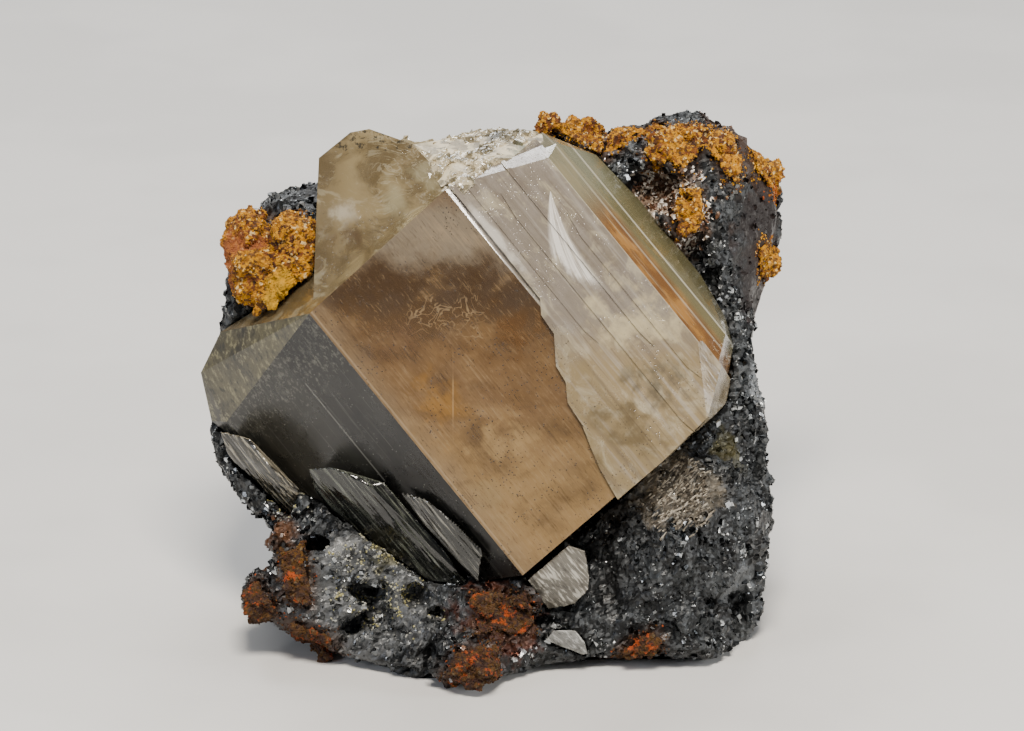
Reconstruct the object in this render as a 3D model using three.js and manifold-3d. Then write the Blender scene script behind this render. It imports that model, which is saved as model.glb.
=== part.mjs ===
// Hand specimen of phosgenite on galena. Lengths in mm, +Z up, -Y towards the viewer.
// Each form is drawn in the frame of the specimen's leaning face: u runs right, v runs up
// the face and w stands out of it. The last section leans that frame back and sets it down.
import * as THREE from "three";
import { ConvexHull } from "three/addons/math/ConvexHull.js";
import { mergeVertices } from "three/addons/utils/BufferGeometryUtils.js";
import Module from "manifold-3d";

// Driving dimensions
const LEAN = 20; // degrees the face leans back from upright
const BASE_V = -28.4; // where the rest surface meets the face plane
const FIT_GAP = 0.3; // clearance between two neighbouring pieces
const FACE_CENTRE = [-1, -3];
const FRONT_HEIGHT = 11; // galena under the crystals, out from the face plane
const BACK_HEIGHT = 23; // galena behind the face plane
const CORE_DETAIL = 7;
const REFINED = 5; // longest edge before the galena is roughened
const CORE_ROUGHNESS = 1.3;
const CORNER_SHIFT = 0.92;
const CORE_INSET = 0.5; // the core stops short of the outline, which the broken blocks reach
const STEPS = { count: 44, smallest: 2.8, largest: 8 }; // blocks standing proud of the galena
const NOTCHES = { count: 26, smallest: 3, largest: 8 }; // blocks broken out of it
const KNOB_RELIEF = 0.3; // of the oxide crusts, as a share of each knob's size
const KNOB_KNOTS = 2.6;
const CRUST_DETAIL = 0;
const COAT = { spread: 0.6, height: 0.95, depth: 2.5 }; // past, above and below its grains
const LAYER_THICKNESS = 0.45; // the growth layer on the large crystal
const STREAK_THICKNESS = 0.12; // growth lines along the large crystal
// How far a facet strays from the rough form
const FACET = { galena: 0.58, grains: 0.2, cut: 0.06, weld: 0.002, socket: 0.12 };

// Outline of the galena seen square to the face: u, v and how far it stands out there
const RIM = [
  [26, 2.5, -6], [28, 8.5, -10], [30, 12.5, -13], [30.5, 17, -14], [30, 21, -13],
  [28, 23.5, -11], [25.5, 26, -8], [22.5, 27.5, -6], [19.5, 28.5, -5], [16.5, 28.3, -4],
  [15, 26.5, -4], [12, 26, -5], [8.5, 26.5, -6], [4, 26.5, -7], [0, 25.5, -8],
  [-4.5, 24, -8], [-10, 21.5, -8], [-16, 20.5, -6], [-21, 20, -3], [-24, 19.5, -1],
  [-27, 19, 0], [-29.5, 16.5, 0], [-31, 12.5, 0], [-32, 6, 0], [-33, 3, -1],
  [-32.5, -4, -2], [-33, -8, -2], [-32, -12, -2], [-29.5, -16, -1], [-27, -19, 0],
  [-25, -20.5, 2], [-27, -22.5, 6], [-29, -24.5, 8], [-29, -26.5, 8], [-25.5, -28.5, 9],
  [-22, -30.5, 9], [-18, -31.5, 8], [-12, -33, 12], [-7.5, -34.5, 16], [-4, -35, 18],
  [-1, -33.5, 14], [3.5, -32.5, 10.5], [9.5, -32, 9], [15, -32, 9.5], [19.5, -32, 10],
  [22.5, -31.5, 9], [24.5, -31, 6], [26.5, -28.5, 3], [28, -25, 1], [28.5, -20, 0],
  [28, -11.5, -2], [28.5, -7, -3], [27.5, -4, -4], [26.5, -1, -5],
];

// Direction of the large crystal's length on the face, and across it up to the right
const ALONG = [0.632, -0.775];
const ACROSS = [0.775, 0.632];

const wasm = await Module();
wasm.setup();

// Seeded noise
function hash(x, y, z) {
  let h = Math.imul(x, 374761393) ^ Math.imul(y, 668265263) ^ Math.imul(z, 2147483647);
  h = Math.imul(h ^ (h >>> 13), 1274126177);
  return ((h ^ (h >>> 16)) >>> 0) / 4294967295;
}

function noise(x, y, z) {
  const cell = [x, y, z].map(Math.floor);
  const part = [x - cell[0], y - cell[1], z - cell[2]].map((t) => t * t * (3 - 2 * t));
  let sum = 0;
  for (let corner = 0; corner < 8; corner++) {
    const step = [corner & 1, (corner >> 1) & 1, corner >> 2];
    const share = step.reduce((s, on, i) => s * (on ? part[i] : 1 - part[i]), 1);
    sum += share * hash(...cell.map((c, i) => c + step[i]));
  }
  return 2 * sum - 1;
}

function randomFrom(seed) {
  let count = 0;
  return () => hash(seed, ++count, seed * 7 + 3);
}

// Solids and meshes
function solidOf(geometry) {
  const bare = new THREE.BufferGeometry();
  const flat = geometry.index ? geometry.toNonIndexed() : geometry;
  bare.setAttribute("position", flat.getAttribute("position"));
  const merged = mergeVertices(bare, 1e-4);
  const mesh = new wasm.Mesh({
    numProp: 3,
    vertProperties: new Float32Array(merged.attributes.position.array),
    triVerts: new Uint32Array(merged.index.array),
  });
  return new wasm.Manifold(mesh);
}

function geometryOf(solid) {
  const mesh = solid.getMesh();
  const geometry = new THREE.BufferGeometry();
  geometry.setAttribute("position", new THREE.BufferAttribute(mesh.vertProperties, 3));
  geometry.setIndex(new THREE.BufferAttribute(mesh.triVerts, 1));
  return geometry;
}

function joined(solids) {
  return solids.reduce((whole, next) => whole.add(next));
}

function largestOf(solid) {
  return solid.decompose().reduce((a, b) => (a.volume() > b.volume() ? a : b));
}

// A convex crystal through its corner points, each face moved out by grow
function gem(corners, grow = 0) {
  const hull = new ConvexHull().setFromPoints(corners.map((c) => new THREE.Vector3(...c)));
  let solid = solidOf(new THREE.BoxGeometry(200, 200, 200));
  for (const { normal, constant } of hull.faces) {
    solid = solid.trimByPlane(normal.toArray().map((n) => -n), -(constant + grow));
  }
  return solid;
}

// A crystal and everything in front of it
function withFront(corners, grow = 0) {
  return gem([...corners, ...corners.map(([u, v, w]) => [u, v, w + 40])], grow);
}

// A point of the large crystal: across it, along it, and out of the face
function onCrystal([p, c, w]) {
  return [p * ACROSS[0] + c * ALONG[0], p * ACROSS[1] + c * ALONG[1], w];
}

// A plate with a free outline, from one height of the face to another
function slab(outline, low, high, place = (point) => point) {
  const flat = outline.map(([a, b]) => place([a, b, 0]));
  const turned = THREE.ShapeUtils.area(flat.map(([x, y]) => ({ x, y }))) < 0;
  const shape = new THREE.Shape();
  shape.setFromPoints((turned ? flat.reverse() : flat).map(([x, y]) => new THREE.Vector2(x, y)));
  const plate = new THREE.ExtrudeGeometry(shape, { depth: high - low, bevelEnabled: false });
  return solidOf(plate.translate(0, 0, low));
}

// A rough lump: a ball stretched to three half sizes with seeded relief
function lump([u, v, w], [a, b, c], seed, relief, detail, grow = 0, turn = 0, knots = 1.9) {
  const ball = mergeVertices(new THREE.IcosahedronGeometry(1, detail).deleteAttribute("normal")
    .deleteAttribute("uv"), 1e-4);
  const spots = ball.attributes.position;
  const spot = new THREE.Vector3();
  for (let i = 0; i < spots.count; i++) {
    spot.fromBufferAttribute(spots, i);
    const at = spot.clone().multiplyScalar(knots);
    const push = 1 + relief * noise(at.x + seed * 5.3, at.y - seed * 2.1, at.z + seed * 9.7);
    spot.multiplyScalar(push);
    spots.setXYZ(i, spot.x * (a + grow), spot.y * (b + grow), spot.z * (c + grow));
  }
  return solidOf(ball.rotateZ(THREE.MathUtils.degToRad(turn)).translate(u, v, w));
}

// A block broken along its cleavage, turned by three angles in degrees
function block([u, v, w], size, turns) {
  const angles = turns.map(THREE.MathUtils.degToRad);
  const box = new THREE.BoxGeometry(...size).applyMatrix4(
    new THREE.Matrix4().makeRotationFromEuler(new THREE.Euler(...angles)),
  );
  return solidOf(box.translate(u, v, w));
}

// Large crystal
const BAR = [
  // edge between the dark side face and the brown front face, both ends
  [-13.3, -18, 17.6], [-13.3, 18.1, 17.6],
  // edge between the front face and the paler striated band
  [6.3, -19, 19.6], [6.3, 17.6, 19.6],
  // edge between the band and the narrow strips
  [16.8, -14.6, 16.4], [16.8, 10.6, 16.4], [12.6, 17.1, 17.6],
  [18.9, -15.5, 13.2], [20, 11.9, 13.2],
  // outer edge against the galena
  [18.6, -17.6, 6], [21.6, -12, 6], [22.2, -5, 5], [22.2, 5.5, 5], [21.4, 10.5, 5], [20, 13.6, 6],
  [14.5, 17.9, 8],
  // lower outer edge of the dark face
  [-28.2, -15, 1.5], [-26.7, -4.1, 3.1], [-21.5, 5, 8.7], [-17, 16, 13.6],
  // sloping end at the left
  [-15.6, -17.6, 15], [-25.6, -17, 3.8], [-22.4, -23, 3], [-27, -21, 0.5], [-29.5, -16.2, -1],
  // foot in the galena
  [-26, -18, -6], [-24, -4, -6], [-16, 8, -5], [-10, 18.6, -5], [16, 17.8, -5], [20, -16, -6], [5, -20, -5],
];

const TAN_END = [
  [-13.3, -17.5, 16.2], [-6.3, -24.2, 13.5], [-5.3, -26.8, 12.4], [-2, -30.6, 10.4],
  [2.4, -30.6, 10.2], [4.2, -29.6, 10.4], [6.8, -25.2, 13], [7.2, -18.6, 17.2],
  [-12.6, -17.5, 2], [-6, -24.2, 1], [-1.6, -30.2, 2], [4, -29.2, 2], [8, -24, 0], [7.5, -17, 0],
  [4, -14, 15], [-10, -14, 14],
];

const BROKEN_TOP = [
  [6.2, -19.6, 17], [6.9, -25.2, 11], [7.8, -24.4, 10], [10.6, -22.8, 10], [15.3, -20.6, 9],
  [18.4, -17.4, 8.5], [17, -14.8, 14.6], [12.6, -18.4, 16.8], [9, -19, 17.4],
  [7, -24.5, -3], [15, -20, -4], [18.4, -17, -4], [14, -12, 3], [8, -14, 3],
];

const LAYER = [
  [6.9, -21], [6.9, -12], [6.8, -3.6], [5.8, -2.2], [5.6, 0.2], [3.6, 3], [3.3, 5],
  [2.1, 6.8], [1.8, 9.6], [1, 12], [0.3, 14.4], [-0.6, 20], [17.5, 20], [17.5, -21],
];

// Growth lines: start across, end across, start along, end along
const STREAKS = [
  [8.3, 9, -18, 2], [10.3, 11.1, -12, 16], [12.8, 13.3, -17, 6], [14.4, 15.4, -6, 12],
];

function bar(grow = 0) {
  return gem(BAR.map(onCrystal), grow);
}

function raisedOn(outline, thickness) {
  const above = slab(outline, 0, 30, onCrystal).intersect(withFront(BAR.map(onCrystal)));
  return above.intersect(bar(thickness));
}

function growthLines() {
  return joined(STREAKS.map(([p0, p1, c0, c1], i) => {
    const taper = 0.5 * (p1 - p0);
    const outline = [[p0, c0], [p0 + taper, c0 - 3], [p1, c0], [p1, c1], [p0 + taper, c1 + 2], [p0, c1]];
    return raisedOn(outline, LAYER_THICKNESS + STREAK_THICKNESS * (0.8 + 0.2 * (i % 3)));
  }));
}

function largeCrystal(grow = 0) {
  const ends = [TAN_END, BROKEN_TOP].map((corners) => gem(corners.map(onCrystal), grow));
  if (grow) return joined([bar(grow + LAYER_THICKNESS), ...ends]);
  return joined([bar(), ...ends, raisedOn(LAYER, LAYER_THICKNESS), growthLines()]);
}

// Smaller crystals along the lower left, by corner points on the face
const LEFT_BLADE = [
  [-31.8, -7.3, 4.5], [-29.4, -7.7, 7], [-28.5, -8, 7.2], [-26.3, -11, 8.2], [-23.1, -13.4, 7.5],
  [-23.4, -14.4, 6.5], [-24, -16.4, 4], [-27.4, -13.2, 4.5], [-30.9, -10, 3.5],
  [-31, -8.5, 0], [-27.5, -13.4, 0], [-24, -16, 0], [-24, -13, 1], [-28.6, -8.4, 1],
];

const LOWER_BLADE = [
  [-22, -11.2, 10.5], [-19.4, -11, 12], [-15.3, -13, 13.2], [-13.8, -12.6, 13], [-11.9, -14.6, 12.8],
  [-9.6, -17, 13], [-7.4, -19.6, 13.4], [-5.7, -22.4, 13.6], [-4.8, -23.6, 13], [-9, -23.2, 11],
  [-12.4, -20.2, 10.2], [-19.2, -16.2, 8.4], [-21.4, -13.6, 8],
  [-21, -13, 3], [-12, -20, 4], [-6, -23.4, 5], [-8, -18, 4], [-16, -12, 4],
];

const RAGGED_BODY = [
  [-12, -13.6, 13.8], [-10.9, -13.5, 14.6], [-9.2, -14.5, 15.6], [-8, -15.5, 16], [-6.3, -15.1, 16.6],
  [-4.5, -16, 17.2], [-3.2, -19.8, 17], [-3.6, -23.2, 15.4], [-7.2, -19.4, 14.6], [-9.8, -16.6, 14.4],
  [-11, -14, 6], [-5, -16, 6], [-4, -22, 6],
];

const LOWER_CRYSTAL = [
  [1.4, -22.6, 16.6], [5.2, -19, 17.4], [7.8, -19.9, 17.2], [8.3, -22.8, 16.4], [8.2, -24, 15.6],
  [6.7, -25.6, 14.6], [5.4, -25.9, 14.2], [3.9, -26.2, 13.8],
  [1.6, -22.6, 8], [5, -19.4, 8], [7.8, -20, 8], [7.6, -24, 8], [4, -25.8, 8],
];

const CLEAVAGE_PLATE = [
  [3.6, -29.5, 15], [4.4, -28.4, 16], [5.6, -28.6, 16], [6.8, -28.4, 15.8], [7.8, -29.7, 15],
  [8.1, -31, 14], [7.6, -31.1, 13.8], [6, -30.3, 14.2],
  [3.8, -29.6, 11], [7.8, -29.8, 10.5], [7.8, -31, 10], [5, -28.6, 11],
];

// Knobbly iron oxide: place, half sizes; the third place value lifts a knob off the galena
const NODULE = [
  [[-28.7, 13.4, 6], [2.7, 3.6, 3.3]], [[-27.4, 10, 7], [3.2, 4, 3.4]],
  [[-23.4, 13.6, 7.8], [3.2, 3.2, 3.4]], [[-22.2, 11.2, 8.6], [2.6, 3.6, 3.2]],
  [[-24.6, 9.4, 8.6], [3.4, 4, 3.2]], [[-25.4, 6, 8.6], [2.2, 3.2, 2.4]],
];

// Oxide crusts on the front of the galena: an outline round the middles of their grains,
// the half size of a grain and how far apart the grains sit
const CRUSTS = {
  top: {
    outline: [
      [0.2, 26.4], [1.4, 27.2], [3.6, 27.5], [6.8, 27.5], [8.8, 26.6], [9.6, 25.2],
      [9.2, 23.8], [7.8, 24.2], [6.4, 25], [4.2, 25.2], [2.4, 26],
    ],
    size: 1.4, spacing: 2.4,
  },
  middle: {
    outline: [
      [10.2, 25.4], [11.6, 26.2], [13, 25.6], [14.1, 25.2], [13.6, 23.8], [12.4, 23.4],
      [11.4, 22.4], [10.2, 23.4],
    ],
    size: 1.25, spacing: 2.2,
  },
  ridge: {
    outline: [
      [15.4, 25.4], [16.2, 26.2], [17.8, 25.4], [19.6, 25.9], [21.6, 25.2], [23.4, 25],
      [24.6, 23], [24.2, 20.6], [23.2, 21.2], [22.2, 23], [20.4, 23.6], [19.4, 22.2],
      [17.6, 23.2], [16.4, 21.8], [15.2, 23.4],
    ],
    size: 1.5, spacing: 3.2,
  },
  patch: {
    outline: [[18.2, 17], [19, 18.8], [19.8, 18.4], [20.2, 16.6], [19.6, 14.4], [18.8, 15]],
    size: 1.05, spacing: 2.1,
  },
  edge: {
    outline: [
      [27.2, 23.4], [28.4, 23.2], [29.6, 21.8], [30.2, 19.4], [30, 16.8], [29, 17.6],
      [28.9, 19.8], [27.8, 21.2],
    ],
    size: 1.35, spacing: 2.3,
  },
  low_edge: {
    outline: [[28, 11.6], [28.8, 12.9], [29.7, 12.2], [29.5, 10.4], [28.9, 9.4], [28.3, 10.4]],
    size: 1.15, spacing: 1.9,
  },
  bottom_upper: {
    outline: [
      [-3.8, -26], [-2.6, -24.8], [-0.8, -25.4], [0.8, -24.9], [1.9, -26.6], [0.6, -28.2],
      [-1.4, -27.6], [-3, -28],
    ],
    size: 1.2, spacing: 2.3,
  },
  bottom_lower: {
    outline: [
      [-6.4, -32.6], [-5.2, -31.4], [-3.8, -30.6], [-2.2, -30.8], [-2, -32.4], [-3, -33.4],
      [-4.4, -34], [-5.8, -33.6],
    ],
    size: 1.25, spacing: 2,
  },
  lobe_left: {
    outline: [[-28.9, -24.4], [-28, -23.6], [-27.2, -25], [-26.2, -26.4], [-27.6, -27.2], [-28.6, -26.2]],
    size: 1.1, spacing: 1.8,
  },
  lobe_under: {
    outline: [[-23.6, -28.6], [-22, -28.8], [-20.6, -29.8], [-19.2, -30.6], [-20.2, -31.6], [-22, -30.6]],
    size: 1, spacing: 1.7,
  },
  vein: {
    outline: [
      [-24, -19], [-23, -19.6], [-23.2, -21.2], [-22.4, -22.8], [-22.6, -25], [-23.8, -24.4],
      [-23.9, -22], [-24.6, -20.6],
    ],
    size: 1, spacing: 2.3,
  },
  right_foot: {
    outline: [[12, -31.2], [13.4, -30.6], [14.6, -29.4], [15.4, -30.2], [14.2, -31.2], [13, -32.2]],
    size: 0.9, spacing: 1.6,
  },
};

function nodule(grow = 0) {
  return joined(NODULE.map(([at, size], i) => {
    return lump(at, size, 100 + i, KNOB_RELIEF, 2, grow, i * 40, KNOB_KNOTS);
  })).simplify(FACET.cut);
}

// How far out of the face a rock's front stands at a place, looked up nearer the middle past its edge
function frontOf(rock) {
  const seen = new THREE.Mesh(geometryOf(rock));
  const look = new THREE.Raycaster();
  const inward = new THREE.Vector3(0, 0, -1);
  return (u, v) => {
    for (const share of [1, 0.97, 0.94, 0.9]) {
      look.set(new THREE.Vector3(share * u, share * v, 90), inward);
      const [hit] = look.intersectObject(seen);
      if (hit) return hit.point.z;
    }
    return 0;
  };
}

function inside(outline, u, v) {
  return outline.reduce((within, [u1, v1], i) => {
    const [u0, v0] = outline.at(i - 1);
    const crossed = v0 > v !== v1 > v && u < u0 + ((v - v0) * (u1 - u0)) / (v1 - v0);
    return crossed ? !within : within;
  }, false);
}

// A coat inside an outline on the front of the galena, with grains packed on it
function crust({ outline, size, spacing }, seed, rock) {
  const random = randomFrom(seed);
  const front = frontOf(rock);
  const [us, vs] = [0, 1].map((axis) => outline.map((point) => point[axis]));
  const low = [Math.min(...us), Math.min(...vs)];
  const high = [Math.max(...us), Math.max(...vs)];
  const grains = [];
  for (let row = 0; low[1] + row * spacing <= high[1] + spacing; row++) {
    for (let u = low[0] - (row % 2) * 0.5 * spacing; u <= high[0] + spacing; u += spacing) {
      const at = [u, low[1] + row * spacing].map((t) => t + 0.5 * spacing * (random() - 0.5));
      const half = [1, 2, 3].map(() => size * (0.8 + 0.5 * random()));
      if (inside(outline, ...at)) grains.push([[...at, front(...at) + 0.2 * size], half]);
    }
  }
  const middle = [0, 1].map((axis) => 0.5 * (low[axis] + high[axis]));
  const widened = (by) => outline.map((point) => {
    return point.map((t, axis) => t + by * Math.sign(t - middle[axis]));
  });
  const deepest = Math.min(...grains.map(([at]) => at[2])) - COAT.depth;
  return (grow = 0) => joined([
    slab(widened(COAT.spread + grow), deepest, 60).intersect(rock.translate([0, 0, COAT.height + grow])),
    ...grains.map(([at, half], i) => {
      return lump(at, half, seed + i, KNOB_RELIEF, CRUST_DETAIL, grow, i * 40, KNOB_KNOTS);
    }),
  ]).simplify(FACET.grains);
}

// Galena
function rimAt(angle) {
  const [cu, cv] = FACE_CENTRE;
  const ring = RIM.map(([u, v, w]) => ({ a: Math.atan2(v - cv, u - cu), r: Math.hypot(u - cu, v - cv), w }));
  ring.sort((one, two) => one.a - two.a);
  const next = ring.findIndex((spot) => spot.a > angle);
  const b = ring[next < 0 ? 0 : next];
  const a = ring[(next <= 0 ? ring.length : next) - 1];
  const turn = 2 * Math.PI;
  const share = (((angle - a.a + turn) % turn) / ((b.a - a.a + turn) % turn));
  return { r: a.r + (b.r - a.r) * share, w: a.w + (b.w - a.w) * share };
}

function galenaCore() {
  const ball = mergeVertices(new THREE.IcosahedronGeometry(1, CORE_DETAIL).deleteAttribute("normal")
    .deleteAttribute("uv"), 1e-4);
  const spots = ball.attributes.position;
  const [cu, cv] = FACE_CENTRE;
  for (let i = 0; i < spots.count; i++) {
    const [x, y, z] = [spots.getX(i), spots.getY(i), spots.getZ(i)];
    const rim = rimAt(Math.atan2(y, x));
    const spread = Math.hypot(x, y) ** 0.72;
    const out = Math.sign(z) * Math.abs(z) ** 0.72 * (z > 0 ? FRONT_HEIGHT : BACK_HEIGHT);
    const flat = Math.hypot(x, y) || 1;
    const u = cu + (x / flat) * (rim.r - CORE_INSET) * spread;
    const v = cv + (y / flat) * (rim.r - CORE_INSET) * spread;
    const w = rim.w * spread ** 3 + out;
    const rough = CORE_ROUGHNESS * (1 - 0.75 * spread ** 6);
    const grain = [u, v, w].map((t) => t / 4.2);
    const push = rough * (noise(...grain) + 0.5 * noise(...grain.map((t) => 2.3 * t + 9)));
    spots.setXYZ(i, u + x * push, v + y * push, w + z * push);
  }
  return solidOf(ball);
}

const LUMPS = [
  [[17, -19, 4], [10.6, 11.6, 12.5], 0.16, 3], [[6, -27, 4], [12, 5.5, 8.5], 0.2, 2],
  [[-5, -30, 8], [6.6, 4.6, 8.5], 0.22, 2], [[-21, -24.5, 4], [7, 5.4, 8], 0.22, 3],
  [[-13, -25, 5], [8, 6.4, 7.5], 0.24, 3], [[-26.6, -4, -2], [5.4, 12.5, 6.6], 0.14, 2],
  [[-25.6, 11, 0], [4.8, 6.4, 5.6], 0.16, 2], [[19.6, 19.4, -5], [6.4, 7.4, 9], 0.2, 3],
  [[23.4, -2, -4], [4.4, 11, 8.6], 0.16, 2], [[9, 22.6, -6], [7.6, 3, 7], 0.2, 2],
];

// The smooth slab at the right and the larger faces around it: place, size, three turns
const BLOCKS = [
  [[26, 17, -12], [4.4, 12, 14], [6, -24, -8]], [[26, 8, -9], [4, 9, 9], [-6, -20, -12]],
  [[18.8, 13.6, 3.6], [2.6, 2.6, 3], [14, 20, 38]], [[19.4, 25.4, -0.6], [4, 2.6, 5], [22, 12, 12]],
  [[24, 22.4, -3], [3.2, 3.6, 6], [12, -28, 24]], [[22, 15, 0.6], [3.4, 4.2, 4], [8, -20, 12]],
  [[-12.4, -28.4, 11.6], [8, 1.5, 3.4], [-20, 6, 38]], [[-14.4, -23.4, 11.8], [1.4, 5, 2.6], [-8, 20, 62]],
  [[-18.4, -21.6, 10.6], [1.3, 4.4, 2.6], [0, 24, 24]],
];

// Broken faces at the back and underneath: direction, and the share of the reach kept there
const BREAKS = [
  [[0.1, 0.5, -1], 0.84], [[0.9, 0.3, -1], 0.86], [[-0.9, 0.2, -1], 0.87], [[0.3, -0.5, -1], 0.88],
  [[-0.4, -0.2, -1], 0.9], [[-0.5, 0.9, -0.8], 0.87], [[0.5, 0.9, -0.9], 0.86], [[1, -0.5, -0.7], 0.88],
  [[-1, -0.6, -0.6], 0.88],
];

const PITS = [
  [[-15, -24.4, 12.6], [2.4, 1.7, 4]], [[-14.2, -26.8, 12.8], [1.7, 1, 3]],
  [[-16.8, -28, 12.4], [2.2, 1.8, 3.6]], [[-10.2, -24.8, 12.8], [1.9, 1.4, 3]],
  [[-20.4, -19.6, 9], [2.6, 1.6, 3.6]], [[3.6, -27.6, 13.2], [1.8, 0.9, 2]],
  [[10.8, -20.4, 16], [1.8, 1.5, 3]], [[-26.4, -17, 3], [1.8, 1.4, 3]], [[-8, -26.8, 15], [1.5, 1.2, 3]],
  [[15.6, 19, 4.4], [4.2, 3, 4.6]], [[20, 12, 4], [2.2, 3.2, 3.6]], [[21.4, 8.6, 2.4], [1.4, 2.8, 3]],
];

// Points spread evenly over a solid's surface
function spotsOver(solid, count, random) {
  const flat = geometryOf(solid).toNonIndexed().attributes.position;
  const facets = Array.from({ length: flat.count / 3 }, (_, i) => {
    const corners = [0, 1, 2].map((k) => new THREE.Vector3().fromBufferAttribute(flat, 3 * i + k));
    return new THREE.Triangle(...corners);
  });
  const areas = facets.map((facet) => facet.getArea());
  const total = areas.reduce((sum, area) => sum + area, 0);
  return Array.from({ length: count }, () => {
    let left = random() * total;
    const pick = areas.findIndex((area) => (left -= area) <= 0);
    const facet = facets[Math.max(pick, 0)];
    return { at: facet.getMidpoint(new THREE.Vector3()), out: facet.getNormal(new THREE.Vector3()) };
  });
}

// Cubic blocks scattered over the rock, near ones turned alike as cleavage leaves them
function scattered(rock, { count, smallest, largest }, lift, seed) {
  const random = randomFrom(seed);
  return spotsOver(rock, count, random).map(({ at, out }) => {
    const region = at.toArray().map((t) => Math.round(t / 17));
    const turns = [1, 2, 3].map((axis) => 90 * hash(region[0] + axis, region[1], region[2]) + 9 * random());
    const size = [1, 2, 3].map(() => smallest + (largest - smallest) * random() ** 2);
    return block(at.addScaledVector(out, lift * Math.min(...size)).toArray(), size, turns);
  });
}

function brokenAtBack(rock) {
  const spots = geometryOf(rock).attributes.position;
  const spot = new THREE.Vector3();
  return BREAKS.reduce((left, [direction, share]) => {
    const way = new THREE.Vector3(...direction).normalize();
    let reach = 0;
    for (let i = 0; i < spots.count; i++) {
      reach = Math.max(reach, spot.fromBufferAttribute(spots, i).dot(way));
    }
    return left.trimByPlane(way.negate().toArray(), -share * reach);
  }, rock);
}

function galena() {
  const swell = LUMPS.map(([at, size, relief, detail], i) => lump(at, size, 40 + i, relief, detail));
  const whole = brokenAtBack(joined([galenaCore(), ...swell]));
  const mass = roughened(whole.refineToLength(REFINED).simplify(FACET.galena));
  const faces = BLOCKS.map(([at, size, turns]) => block(at, size, turns));
  const steps = scattered(mass, STEPS, -0.34, 7);
  const notches = scattered(mass, NOTCHES, 0.1, 8);
  const hollows = PITS.map(([at, size], i) => lump(at, size, 80 + i, 0.3, 1));
  const broken = joined([mass.subtract(joined(notches)), ...faces, ...steps]).subtract(joined(hollows));
  const outline = slab(RIM.map(([u, v]) => [u, v]), -60, 60);
  return largestOf(broken.intersect(outline).simplify(FACET.galena));
}

// Shifts every corner a little so that facets break at all sizes
function roughened(solid) {
  return solid.warp((spot) => {
    const grain = spot.map((t) => t / 2.6);
    [0, 1, 2].forEach((axis) => {
      spot[axis] += CORNER_SHIFT * noise(grain[0] + 31 * axis, grain[1], grain[2] - 17 * axis);
    });
  });
}

// Flattens the underside where the specimen rests
function setDown(solid) {
  const lean = THREE.MathUtils.degToRad(LEAN);
  const up = [0, Math.cos(lean), Math.sin(lean)];
  return solid.trimByPlane(up, BASE_V * Math.cos(lean));
}

// Materials
function galenaMaterial() {
  return new THREE.MeshStandardMaterial({ color: 0x4a4c4e, roughness: 0.45, metalness: 0.7 });
}

function phosgeniteMaterial() {
  return new THREE.MeshStandardMaterial({ color: 0xa5855a, roughness: 0.12, metalness: 0 });
}

function greyCrystalMaterial() {
  return new THREE.MeshStandardMaterial({ color: 0x9a978c, roughness: 0.2, metalness: 0 });
}

function limoniteMaterial() {
  return new THREE.MeshStandardMaterial({ color: 0xc07a1e, roughness: 0.9, metalness: 0 });
}

// Assembly
const crystals = {
  phosgenite_crystal: [largeCrystal, [BAR, TAN_END, BROKEN_TOP].map((list) => list.map(onCrystal))],
  left_blade_crystal: [(grow = 0) => gem(LEFT_BLADE, grow), [LEFT_BLADE]],
  lower_blade_crystal: [(grow = 0) => gem(LOWER_BLADE, grow), [LOWER_BLADE]],
  ragged_crystal: [(grow = 0) => gem(RAGGED_BODY, grow), [RAGGED_BODY]],
  lower_crystal: [(grow = 0) => gem(LOWER_CRYSTAL, grow), [LOWER_CRYSTAL]],
  cleavage_plate: [(grow = 0) => gem(CLEAVAGE_PLATE, grow), [CLEAVAGE_PLATE]],
};

function crustsOn(rock) {
  const patches = Object.entries(CRUSTS).map(([name, patch], i) => {
    return ["limonite_crust_" + name, crust(patch, 120 + 10 * i, rock)];
  });
  return [["limonite_nodule", nodule], ...patches];
}

// Takes each piece in turn and cuts it clear of the ones already placed
function assemble() {
  const rock = galena();
  const placed = [];
  const pieces = [];
  const sockets = [];
  for (const [name, [form, corners]] of Object.entries(crystals)) {
    const material = name === "phosgenite_crystal" ? phosgeniteMaterial() : greyCrystalMaterial();
    pieces.push([name, cutClear(form(), placed), material]);
    placed.push(form(FIT_GAP));
    sockets.push(...corners.map((list) => withFront(list, FIT_GAP)));
  }
  const socketed = largestOf(cutClear(setDown(rock), sockets).simplify(FACET.socket));
  const skin = socketed.translate([0, 0, FIT_GAP]);
  for (const [name, form] of crustsOn(rock)) {
    const rough = cutClear(setDown(form()).subtract(skin), placed).simplify(FACET.cut);
    const clear = cutClear(rough, [socketed]).simplify(FACET.weld);
    pieces.push([name, cutClear(clear, [socketed]), limoniteMaterial()]);
    placed.push(form(FIT_GAP));
  }
  pieces.push(["galena_matrix", socketed, galenaMaterial()]);
  return pieces;
}

function cutClear(solid, placed) {
  return largestOf(placed.reduce((left, other) => left.subtract(other), solid));
}

function standUp(geometry) {
  const lean = THREE.MathUtils.degToRad(LEAN);
  const right = new THREE.Vector3(1, 0, 0);
  const up = new THREE.Vector3(0, Math.sin(lean), Math.cos(lean));
  const out = new THREE.Vector3(0, -Math.cos(lean), Math.sin(lean));
  return geometry.applyMatrix4(new THREE.Matrix4().makeBasis(right, up, out));
}

const specimen = new THREE.Group();
for (const [name, solid, material] of assemble()) {
  const mesh = new THREE.Mesh(standUp(geometryOf(solid)), material);
  mesh.name = name;
  specimen.add(mesh);
}

// Origin under the middle of the specimen, on the surface it rests on
const reach = new THREE.Box3().setFromObject(specimen);
const middle = reach.getCenter(new THREE.Vector3());
specimen.children.forEach((mesh) => mesh.geometry.translate(-middle.x, -middle.y, -reach.min.z));

export default specimen;
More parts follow.
